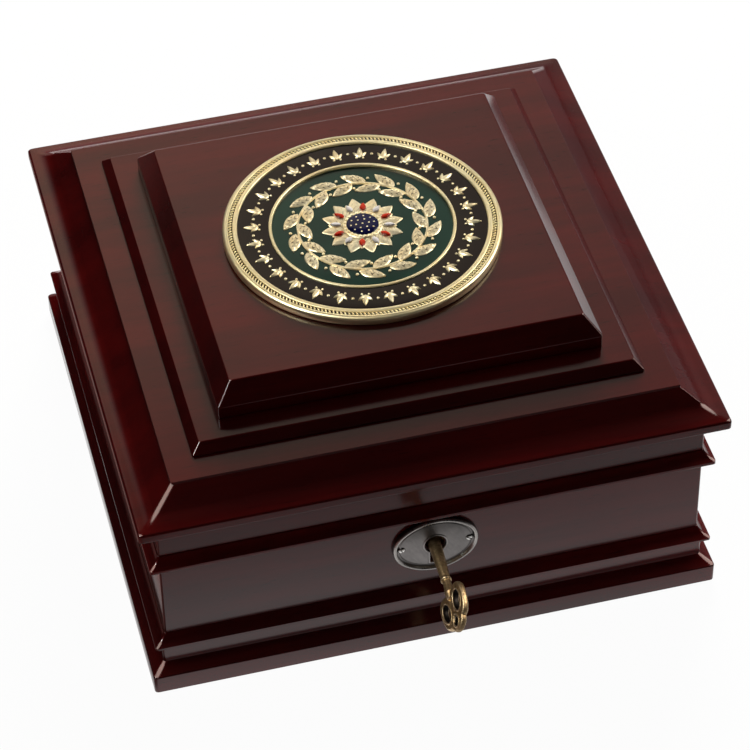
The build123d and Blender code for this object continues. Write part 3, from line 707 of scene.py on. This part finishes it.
nickel_dark = (0.13, 0.12, 0.12, 1)
nickel_bright = (0.42, 0.39, 0.37, 1)
nickel_painted_shade = (0.05, 0.045, 0.042, 1)
nickel_stained = (0.06, 0.058, 0.055, 1)
worn_out_from, worn_out_to = 0.85, 1.8
shade_up_from, shade_up_to = 1.0, 9.0
nickel, nickel_shader, nickel_place = new_finish("antique_nickel", Metallic=1.0)
nx, ny, nz = nickel_place.parts()
scratches = nickel_place.at(nx * 900 + nz * 500, ny * 200, nz * 160 - nx * 90).noise(1.0, 4.0, 0.65)
nickel_stain = nickel_place.noise(160.0, 4.0, 0.6).between(0.3, 0.75)
worn = (plate_back * MM - ny).between(worn_out_from * MM, worn_out_to * MM)
nickel_colour = (worn * 0.7 + scratches * 0.5).blend(nickel_dark, nickel_bright)
# Painted shade: the plate darkens towards its top, less where its raised parts are worn bright.
painted_top_shade = nz.between((plate_centre_z + shade_up_from) * MM, (plate_centre_z + shade_up_to) * MM) * (1 - worn)
nickel_colour = (painted_top_shade * 0.75).blend(nickel_colour, nickel_painted_shade)
nickel_colour = (nickel_stain * 0.35).blend(nickel_colour, nickel_stained)
nickel_rough = scratches * 0.2 + 0.26 - worn * 0.08
nickel_dents = scratches.bump(0.35, 0.0001)
nickel_colour.feed(nickel_shader, Base_Color=nickel_colour, Roughness=nickel_rough, Normal=nickel_dents)
plate = shade(new_object("keyhole_plate", plate_bm, nickel), sharpest=50)
install(plate, "box", "antique_nickel", "escutcheon")


# ---- Screws ----
# Two domed screws in the keyhole plate and countersunk ones in the hinges, lock and strike plate,
# each turned from rod, with a saw-cut slot that stopped at its own angle.

head_radius = 1.8
head_depth = 1.1
head_edge = 0.15
shank_radius = 0.9
screw_length = 9.0
slot_half = 0.22
slot_depth = 0.4
slot_foot = 0.85
dome_radius = 1.45
dome_height = 0.95
dome_skirt = 0.3
first_spin, next_spin = 20, 37
driving_order = Vector((1.0, 0.1, 0.03))
fine_weld = 0.0005 * MM
facing_down = Matrix.Rotation(pi, 3, "X")
facing_up = Matrix.Identity(3)
facing_inside = Matrix.Rotation(-pi / 2, 3, "X")
facing_outside = Matrix.Rotation(pi / 2, 3, "X")


def turned(points, steps):
    """Spin (radius, height) points in millimetres about Z into a turned piece."""
    bm = bmesh.new()
    verts = [bm.verts.new((radius * MM, 0, height * MM)) for radius, height in points]
    edges = [bm.edges.new(pair) for pair in zip(verts, verts[1:])]
    bmesh.ops.spin(
        bm, geom=verts + edges, cent=(0, 0, 0), axis=(0, 0, 1), angle=2 * pi, steps=steps, use_merge=True
    )
    bmesh.ops.remove_doubles(bm, verts=bm.verts, dist=fine_weld)
    bmesh.ops.recalc_face_normals(bm, faces=bm.faces)
    return bm


def slotted_screw(points):
    """A turned screw with its top at the origin and a slot sawn across it along Y."""
    bm = turned(points, 24)
    for side in (-1, 1):
        for wall in (slot_half, slot_half * slot_foot):
            bmesh.ops.bisect_plane(
                bm, geom=bm.verts[:] + bm.edges[:] + bm.faces[:],
                plane_co=(side * wall * MM, 0, 0), plane_no=(1, 0, 0),
            )
    top = max(vert.co.z for vert in bm.verts)
    for vert in bm.verts:
        if abs(vert.co.x) < slot_half * (slot_foot + 0.01) * MM and vert.co.z > top - 2 * slot_depth * MM:
            vert.co.z -= slot_depth * MM
    mesh = bpy.data.meshes.new("screw")
    bm.to_mesh(mesh)
    bm.free()
    return mesh


def screw_places(node, turn_to_face):
    """Where a node's screws are, the middles of its loose parts, each with the next turn of its slot."""
    bm = clean_copy(node)
    facing = turn_to_face @ Vector((0, 0, 1))
    left = set(bm.verts)
    middles = []
    for first in bm.verts:
        if first not in left:
            continue
        left.remove(first)
        stack, part = [first], []
        while stack:
            vert = stack.pop()
            part.append(vert.co.copy())
            for edge in vert.link_edges:
                other = edge.other_vert(vert)
                if other in left:
                    left.remove(other)
                    stack.append(other)
        level = max(co.dot(facing) for co in part)
        middle = sum(part, Vector()) / len(part)
        middles.append(middle + facing * (level - middle.dot(facing)))
    bm.free()
    middles.sort(key=driving_order.dot)
    return [
        Matrix.Translation(middle)
        @ turn_to_face.to_4x4()
        @ Matrix.Rotation(radians(next_spin * number + first_spin), 4, "Z")
        for number, middle in enumerate(middles)
    ]


def set_of_screws(name, node, screw, facing, material, body, slot):
    """A node's screws as one piece, one screw for each of its places."""
    bm = bmesh.new()
    for place in screw_places(node, facing):
        start = len(bm.verts)
        bm.from_mesh(screw)
        bm.verts.ensure_lookup_table()
        bmesh.ops.transform(bm, matrix=place, verts=bm.verts[start:])
    install(shade(new_object(name, bm, material), sharpest=35), body, slot, node)


wood_screw = slotted_screw([
    (0, 0),
    (head_radius, 0),
    (head_radius, -head_edge),
    (shank_radius, -head_depth),
    (shank_radius, -screw_length),
    (0, -screw_length),
])
dome = [
    (dome_radius * sin(radians(a)), dome_height * (cos(radians(a)) - 1))
    for a in (0, 15, 30, 45, 60, 75, 90)
]
dome_foot = -dome_height - dome_skirt
plate_screw = slotted_screw([*dome, (dome_radius, dome_foot), (0, dome_foot)])

# Painted shade: each plate screw head is near black at its foot, where it meets the plate, and bright above,
# with a little random cloud.
foot_shade_from, foot_shade_to = 1.0, 1.75
foot_painted_shade = (0.02, 0.018, 0.016, 1)
head_bright = (0.95, 0.92, 0.88, 1)
screw_nickel_painted_shade, head_shader, head_place = new_finish("screw_nickel_painted_shade", Metallic=1.0, Roughness=0.2)
height_out = plate_back * MM - head_place.parts()[1]
head_foot_shade = height_out.between(foot_shade_from * MM, foot_shade_to * MM) + head_place.noise(900.0) * 0.2 - 0.1
head_tint = head_foot_shade.blend(foot_painted_shade, head_bright)
head_tint.feed(head_shader, Base_Color=head_tint)

for node, facing, material, body, slot in (
    ("hinge_screws_lower", facing_up, hinge_brass, "box", "hinge_brass"),
    ("hinge_screws_upper", facing_down, hinge_brass, "lid", "hinge_brass"),
    ("lock_screws", facing_inside, lock_brass, "box", "lock_brass"),
    ("strike_screws", facing_down, lock_brass, "lid", "lock_brass"),
):
    set_of_screws(node + "_slotted", node, wood_screw, facing, material, body, slot)
set_of_screws(
    "plate_screws_slotted", "escutcheon_screws", plate_screw, facing_outside, screw_nickel_painted_shade,
    "box", "antique_nickel",
)


# ---- Key ----
# A small cast brass key, cloudy with patina and worn bright on the edges, with painted shade inside
# the holes of its bow: a tapering stem with a collar, a flat bow with three rimmed holes, and a bit
# inside the lock. Loose on its pin, it leans a little to the left.

key_turn = 26.0
key_lean = 2.2
key_droop = 0.3
key_pivot_y = -87.55
tip_behind_pivot = 3.05
stem_start = 10.1
stem_end = 27.5
stem_outline = [
    (0, 0), (2.2, 0), (2.2, 9.0), (2.17, 13.0), (2.05, 18.0), (1.85, 23.0), (1.66, stem_end - 0.3),
    (1.7, stem_end), (1.88, stem_end + 0.15), (1.95, stem_end + 0.5), (1.88, stem_end + 0.85),
    (1.65, stem_end + 1.0), (1.45, stem_end + 1.3), (1.5, stem_end + 3.5), (1.9, stem_end + 6.5),
    (1.5, stem_end + 9.0), (0, stem_end + 9.5),
]
bit_middle = (0, -3.4, 2.6)
bit_size = (2.0, 6.0, 3.0)
bow_half_thick = 1.1
rim_width = 0.85
rim_rise = 0.3
casting_grain = 0.18
hole_reach = 1.25
hole_fade = 0.3


def ellipse(half_x, half_y, power=2.0):
    """An ellipse, or a squarer or leaner one, as a radius for each angle."""

    def reach(angle):
        return (abs(cos(angle) / half_x) ** power + abs(sin(angle) / half_y) ** power) ** (-1 / power)

    return reach


def rimmed_ring(outer, hole):
    """Levels of a flat ring with a raised bead round its hole and a rounded outer edge."""
    crest = bow_half_thick + rim_rise
    half = [
        (hole, 0.55 * crest),
        (lambda a: hole(a) + 0.2 * rim_width, 0.93 * crest),
        (lambda a: hole(a) + 0.5 * rim_width, crest),
        (lambda a: hole(a) + 0.8 * rim_width, 0.93 * crest),
        (lambda a: hole(a) + rim_width, bow_half_thick),
        (lambda a: max(outer(a) - 0.6, hole(a) + rim_width), bow_half_thick),
        (lambda a: outer(a) - 0.15, 0.75 * bow_half_thick),
        (outer, 0.35 * bow_half_thick),
    ]
    return half + [(radius, -height) for radius, height in reversed(half)]


def add(bm, extra):
    """Add a second bmesh to a first one, and free the second."""
    mesh = bpy.data.meshes.new("part")
    extra.to_mesh(mesh)
    extra.free()
    bm.from_mesh(mesh)
    bpy.data.meshes.remove(mesh)


def stretched(x, y, z):
    """A stretch along each axis, in millimetres."""
    return Matrix.Diagonal((x * MM, y * MM, z * MM, 1))


key_bm = turned(stem_outline, 32)
bow_rings = [
    (-3.6, 30.3, -6, ellipse(3.9, 7.0, 2.3), ellipse(2.0, 3.9)),
    (3.6, 30.3, 6, ellipse(3.9, 7.0, 2.3), ellipse(2.0, 3.9)),
    (0.0, 36.4, 0, ellipse(3.9, 3.9), ellipse(1.25, 2.2)),
]
upright = Matrix.Rotation(pi / 2, 4, "Z") @ Matrix.Rotation(pi / 2, 4, "X")
for aside, out, tilt, outer, hole in bow_rings:
    ring_bm = closed_loops(rimmed_ring(outer, hole), 56)
    shift = Matrix.Translation(Vector((0, aside, stem_start + out)) * MM)
    tilted = shift @ (upright @ Matrix.Rotation(radians(tilt), 4, "Z"))
    bmesh.ops.transform(ring_bm, matrix=tilted, verts=ring_bm.verts)
    add(key_bm, ring_bm)
bit_place = Matrix.Translation(Vector(bit_middle) * MM) @ stretched(*bit_size)
bmesh.ops.create_cube(key_bm, size=1, matrix=bit_place)
bmesh.ops.recalc_face_normals(key_bm, faces=key_bm.faces)
key_place = (
    Matrix.Translation(Vector((0, key_pivot_y, plate_centre_z)) * MM)
    @ Matrix.Rotation(radians(-key_lean), 4, "Z")
    @ Matrix.Rotation(radians(90 + key_droop), 4, "X")
    @ Matrix.Rotation(radians(-key_turn), 4, "Z")
    @ Matrix.Translation(Vector((0, 0, -tip_behind_pivot)) * MM)
)
bmesh.ops.transform(key_bm, matrix=key_place, verts=key_bm.verts)

key_dull = (0.60, 0.37, 0.14, 1)
key_rubbed = (0.98, 0.78, 0.52, 1)
key_patina = (0.11, 0.060, 0.024, 1)
# Painted shade: the walls inside the bow's holes are painted near black, as the shade in them.
hole_painted_shade = (0.010, 0.006, 0.004, 1)
key_brass, key_shader, key_point = new_finish("antique_brass", Metallic=0.75)
patina = key_point.noise(330.0, 4.0, 0.65).between(0.38, 0.62)
key_wear = key_point.node("NewGeometry", output="Pointiness").between(0.47, 0.56)
hole_shade_mask = key_point.node("Attribute", {"attribute_name": "hole_shade_mask"}, output="Fac")
key_colour = (patina * 0.7).blend(key_wear.blend(key_dull, key_rubbed), key_patina)
key_colour = hole_shade_mask.blend(key_colour, hole_painted_shade)
key_dents = key_point.noise(900.0, 3.0, 0.6).bump(0.35, 0.00015)
key_colour.feed(key_shader, Base_Color=key_colour, Roughness=patina * 0.15 + 0.34, Normal=key_dents)
rough_key = new_object("key_parts", key_bm, key_brass)
fuse = rough_key.modifiers.new("fuse", "REMESH")
fuse.mode = "VOXEL"
fuse.voxel_size = casting_grain * MM
relax = rough_key.modifiers.new("relax", "SMOOTH")
relax.iterations = 2
relax.factor = 0.5
finished_key = rough_key.evaluated_get(bpy.context.evaluated_depsgraph_get())
key_mesh = bpy.data.meshes.new_from_object(finished_key)
bpy.data.objects.remove(rough_key)
key_mesh.name = "cast_key"
key_piece = bpy.data.objects.new("cast_key", key_mesh)
bpy.context.scene.collection.objects.link(key_piece)
key_piece.data.shade_smooth()
to_bow = key_place.inverted()
# Painted shade: points inside each hole of the bow, fading out towards its faces, get the hole's shade.
hole_shade_layer = key_mesh.attributes.new("hole_shade_mask", "FLOAT", "POINT")
for number, vert in enumerate(key_mesh.vertices):
    spot = to_bow @ vert.co / MM
    for aside, out, tilt, outer, hole in bow_rings:
        across = Matrix.Rotation(radians(-tilt), 2) @ Vector((spot.y - aside, spot.z - stem_start - out))
        if across.length / hole(atan2(across.y, across.x)) < hole_reach:
            sunk = (bow_half_thick + 0.1 - abs(spot.x)) / hole_fade
            hole_shade_layer.data[number].value = min(max(sunk, 0), 1)
install(key_piece, "key", "antique_brass", "key")


# ---- Medallion disc ----
# A struck and gilded disc with a raised ring between two sunk fields, a plain rim and a groove for
# the cord. It is glued to the top panel.

disc_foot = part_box("medallion_disc")[0].z / MM
gold_deep = (0.98, 0.81, 0.46, 1)
gold_hollow = (0.30, 0.16, 0.05, 1)
gold_pale = (1.0, 0.90, 0.58, 1)


def gilding(name, pale, deep, hollow, low, high):
    """Gold leaf, clouded a little, and darkened where the surface is hollow."""
    material, shader, place = new_finish(name, Metallic=0.72)
    cloud = place.noise(140.0, 3.0, 0.6).between(0.3, 0.75)
    raised = place.node("NewGeometry", output="Pointiness").between(low, high)
    colour = raised.blend(hollow, cloud.blend(pale, deep))
    hammered = place.noise(1500.0, 3.0, 0.6).bump(0.25, 0.0001)
    colour.feed(shader, Base_Color=colour, Roughness=cloud * 0.08 + 0.32, Normal=hammered)
    return material


gilt = gilding("gilt", gold_pale, gold_deep, gold_hollow, low=0.42, high=0.49)
disc_points = [
    (0, 1.4), (31.4, 1.4), (31.4, 2.6), (31.6, 2.85), (31.8, 2.9), (32.3, 2.9), (32.5, 2.8),
    (32.6, 2.5), (32.6, 1.9), (43.4, 1.9), (43.4, 2.8), (43.6, 3.05), (43.8, 3.1), (44.9, 3.1),
    (45.05, 3.0), (45.1, 2.6), (46.6, 2.6), (46.65, 3.05), (46.8, 3.15), (47.35, 3.15),
    (47.45, 3.0), (47.6, 3.0), (48.1, 2.75), (48.4, 2.4), (48.5, 2.0), (48.5, 0.2), (48.3, 0.0), (0, 0.0),
]
disc_bm = turned(disc_points, 192)
bmesh.ops.translate(disc_bm, vec=(0, 0, disc_foot * MM), verts=disc_bm.verts)
disc = shade(new_object("medallion_gilt", disc_bm, gilt), sharpest=50)
install(disc, "lid", "gilt", "medallion_disc")


# ---- Corded rim ----
# A twisted cord of gilded strands, struck in one with the disc, that lies in the groove of its rim.
# The bottom of the groove is a thin dark sheet, painted shade that shows between the strands.

cord_strands = 216
cord_radius = 45.85
cord_level = 2.68
strand_slant = 38
strand_size = (0.88, 0.34, 0.5)
groove_level = 2.58
groove = [(45.1, 0), (46.6, 0), (46.6, 0.06), (45.1, 0.06), (45.1, 0)]


def around(turn, radius, level, swing=0.0):
    """A place on the disc, at a turn and a radius in millimetres, swung about its own upright."""
    return (
        Matrix.Rotation(radians(turn), 4, "Z")
        @ Matrix.Translation(Vector((radius, 0, disc_foot + level)) * MM)
        @ Matrix.Rotation(radians(swing), 4, "Z")
    )


def ring(points, level, steps=96):
    """A ring, or a disc, turned from (radius, height) points on a level of the medallion."""
    return turned([(radius, height + disc_foot + level) for radius, height in points], steps)


def relief(name, bm, material, slot, *nodes):
    """A raised piece of the medallion, its normals turned outwards after the pressing."""
    bmesh.ops.remove_doubles(bm, verts=bm.verts, dist=fine_weld)
    bmesh.ops.recalc_face_normals(bm, faces=bm.faces)
    install(shade(new_object(name, bm, material), sharpest=60), "lid", slot, *nodes)


groove_painted_shade, groove_shader, groove_place = new_finish("groove_painted_shade", Metallic=1.0, Roughness=0.45)
groove_shade_tint = groove_place.noise(300.0).blend((0.012, 0.006, 0.003, 1), (0.035, 0.018, 0.008, 1))
groove_shade_tint.feed(groove_shader, Base_Color=groove_shade_tint)
relief("cord_groove", ring(groove, groove_level, 128), groove_painted_shade, None)
cord_bm = bmesh.new()
for i in range(cord_strands):
    strand = around(360 * i / cord_strands, cord_radius, cord_level, strand_slant)
    bmesh.ops.create_uvsphere(
        cord_bm, u_segments=6, v_segments=4, radius=1, matrix=strand @ stretched(*strand_size)
    )
relief("corded_rim", cord_bm, gilt, "gilt")


# ---- Black band and its palmettes ----
# Black enamel fired into the outer field of the disc, with a ring of small gilded palmettes on it.
# A pearl stands between each pair.

enamel_depth = 0.5
band_level = 2.4
band_section = [(32.6, 0), (43.4, 0), (43.4, 0.48), (43.1, 0.5), (32.9, 0.5), (32.6, 0.48), (32.6, 0)]
palmettes = 28
band_middle = 38.0
frond_turn, frond_swing = 1.8, 42
ribs_each_side = 2.5
relief_gilt = gilding(
    "relief_gilt", (1.0, 0.91, 0.64, 1), (0.97, 0.80, 0.48, 1), (0.08, 0.04, 0.014, 1), low=0.43, high=0.51
)


def enamel(name, colour, deep):
    """Fired enamel: glassy, with a slight cloudiness in its colour."""
    material, shader, place = new_finish(
        name, Roughness=0.4, Specular_IOR_Level=0.0, Coat_Weight=1.0, Coat_Roughness=0.08, Coat_IOR=1.33
    )
    tint = place.noise(70.0, 3.0, 0.55).between(0.3, 0.75).blend(colour, deep)
    tint.feed(shader, Base_Color=tint)
    return material


def pearl(bm, place, radius, height, rings=5):
    """A small raised ball."""
    pressed = place @ stretched(radius, radius, height)
    bmesh.ops.create_uvsphere(bm, u_segments=8, v_segments=rings, radius=1, matrix=pressed)


def leaf(bm, place, length, width, height, ribs, across, rings):
    """A raised leaf along X, from a ball pressed to shape, with a midrib and slanting ribs."""
    made = bmesh.ops.create_uvsphere(bm, u_segments=across, v_segments=rings, radius=1)["verts"]
    for vert in made:
        along, aside, up = vert.co.z, vert.co.y, vert.co.x
        swell = max(1 - along**2, 0) ** 0.25 * (1 - 0.28 * along)
        crest = 0.62 + 0.38 * max(1 - abs(aside) * 2.2, 0)
        wave = 1 - ribs * (0.5 + 0.5 * cos(2 * pi * (ribs_each_side * along + 1.4 * abs(aside))))
        rise = max(up, 0) ** 0.7 * crest * wave
        vert.co = place @ (Vector((along * length / 2, aside * swell * width / 2, rise * height)) * MM)


black_enamel = enamel("black_enamel", (0.012, 0.0055, 0.0035, 1), (0.007, 0.003, 0.002, 1))
band_bm = ring(band_section, band_level - enamel_depth, 192)
relief("enamel_band_fired", band_bm, black_enamel, "black_enamel", "enamel_band")
palmette_bm = bmesh.new()
for i in range(palmettes):
    turn = 360 * i / palmettes
    middle_leaf = around(turn, band_middle + 0.6, band_level)
    leaf(palmette_bm, middle_leaf, length=5.4, width=2.0, height=0.6, ribs=0, across=8, rings=8)
    for side in (-1, 1):
        frond = around(turn + side * frond_turn, band_middle - 0.6, band_level, side * frond_swing)
        leaf(palmette_bm, frond, length=3.6, width=1.4, height=0.5, ribs=0, across=8, rings=6)
        foot_pearl = around(turn + side * 1.9, band_middle - 2.3, band_level)
        pearl(palmette_bm, foot_pearl, radius=0.5, height=0.4, rings=4)
    between_pearl = around(turn + 180 / palmettes, band_middle, band_level)
    pearl(palmette_bm, between_pearl, radius=0.6, height=0.45)
relief("band_palmettes", palmette_bm, relief_gilt, "gilt", "band_studs")


# ---- Green field and its laurel wreath ----
# Green enamel fired into the middle of the disc, and a gilded wreath on it: a round stalk with
# ribbed leaves in pairs and a berry at each leaf's foot.

field_level = 1.9
field_section = [(0, 0), (31.4, 0), (31.4, 0.48), (31.1, 0.5), (0, 0.5)]
leaf_pairs = 14
leaf_swing = 24
wreath_radius = 22.5
green_enamel = enamel("green_enamel", (0.008, 0.038, 0.026, 1), (0.006, 0.030, 0.020, 1))
field_bm = ring(field_section, field_level - enamel_depth, 192)
relief("enamel_field_fired", field_bm, green_enamel, "green_enamel", "enamel_field")
wreath_bm = bmesh.new()
for i in range(leaf_pairs):
    for side in (-1, 1):
        turn = 360 * (i + 0.25 * side) / leaf_pairs
        place = around(turn, wreath_radius + side * 2.5, field_level, 90 - side * leaf_swing)
        leaf(wreath_bm, place, length=9.4, width=4.2, height=1.0, ribs=0.8, across=16, rings=22)
        berry = around(turn - 12, wreath_radius + side * 2.7, field_level)
        pearl(wreath_bm, berry, radius=0.62, height=0.6)
stalk_section = [(-0.45, 0), (-0.28, 0.4), (0.28, 0.4), (0.45, 0), (-0.45, 0)]
stalk = [(wreath_radius + across, height) for across, height in stalk_section]
add(wreath_bm, ring(stalk, field_level))
relief("laurel_wreath", wreath_bm, relief_gilt, "gilt", "wreath")


# ---- Rosette ----
# Two tiers of gilded petals with a pearled collar in their middle. Drops of red and white enamel
# lie by turns between the petals.

petals = 12
petal_foot = 1.5
petal_tiers = [(0, 14.5, 5.8, 0.65), (180 / petals, 12.0, 4.8, 0.8)]
collar_level = field_level + 0.15
collar = [(0, 0), (6.9, 0), (7.1, 0.3), (6.9, 0.55), (6.5, 0.6), (0, 0.6)]
collar_pearls_radius = 6.25
drop_radius = 9.4
rosette_bm = bmesh.new()
for shift, reach, width, height in petal_tiers:
    for i in range(petals):
        place = around(shift + 360 * i / petals, reach / 2 + petal_foot, field_level)
        leaf(rosette_bm, place, reach - 2 * petal_foot, width, height, ribs=0.6, across=16, rings=20)
add(rosette_bm, ring(collar, collar_level))
for i in range(2 * petals):
    place = around(360 * (i + 0.5) / petals / 2, collar_pearls_radius, field_level + 0.7)
    pearl(rosette_bm, place, radius=0.74, height=0.5)
relief("rosette_gilt", rosette_bm, relief_gilt, "gilt", "rosette")

red_enamel = enamel("red_enamel", (0.62, 0.035, 0.010, 1), (0.50, 0.022, 0.006, 1))
white_enamel = enamel("white_enamel", (0.80, 0.76, 0.74, 1), (0.70, 0.66, 0.64, 1))
for first_petal, name, material in ((0, "red_drops", red_enamel), (1, "white_drops", white_enamel)):
    drop_bm = bmesh.new()
    for i in range(first_petal, petals, 2):
        drop = around(360 * (i + 0.5) / petals, drop_radius, field_level + 0.55)
        leaf(drop_bm, drop, length=4.0, width=2.2, height=0.55, ribs=0, across=10, rings=8)
    relief(name, drop_bm, material, None)


# ---- Boss ----
# A low dome of blue enamel fired into the rosette's collar, with two rings of small gilded grains
# round a middle one.

blue_enamel = enamel("blue_enamel", (0.006, 0.007, 0.050, 1), (0.004, 0.004, 0.032, 1))
boss_level = field_level + 0.7
boss_section = [(0, 0), (5.7, 0), (5.5, 0.15), (4.6, 0.32), (3.0, 0.42), (1.5, 0.45), (0, 0.45)]
boss_bm = ring(boss_section, boss_level, 64)
relief("boss_enamel", boss_bm, blue_enamel, "blue_enamel", "boss")
grain_bm = bmesh.new()
for count, radius, level in ((1, 0, 1.10), (6, 2.3, 1.09), (10, 4.1, 1.01)):
    for i in range(count):
        pearl(grain_bm, around(360 * i / count, radius, field_level + level), radius=0.36, height=0.2)
relief("boss_grains", grain_bm, relief_gilt, "gilt")


bpy.context.view_layer.update()
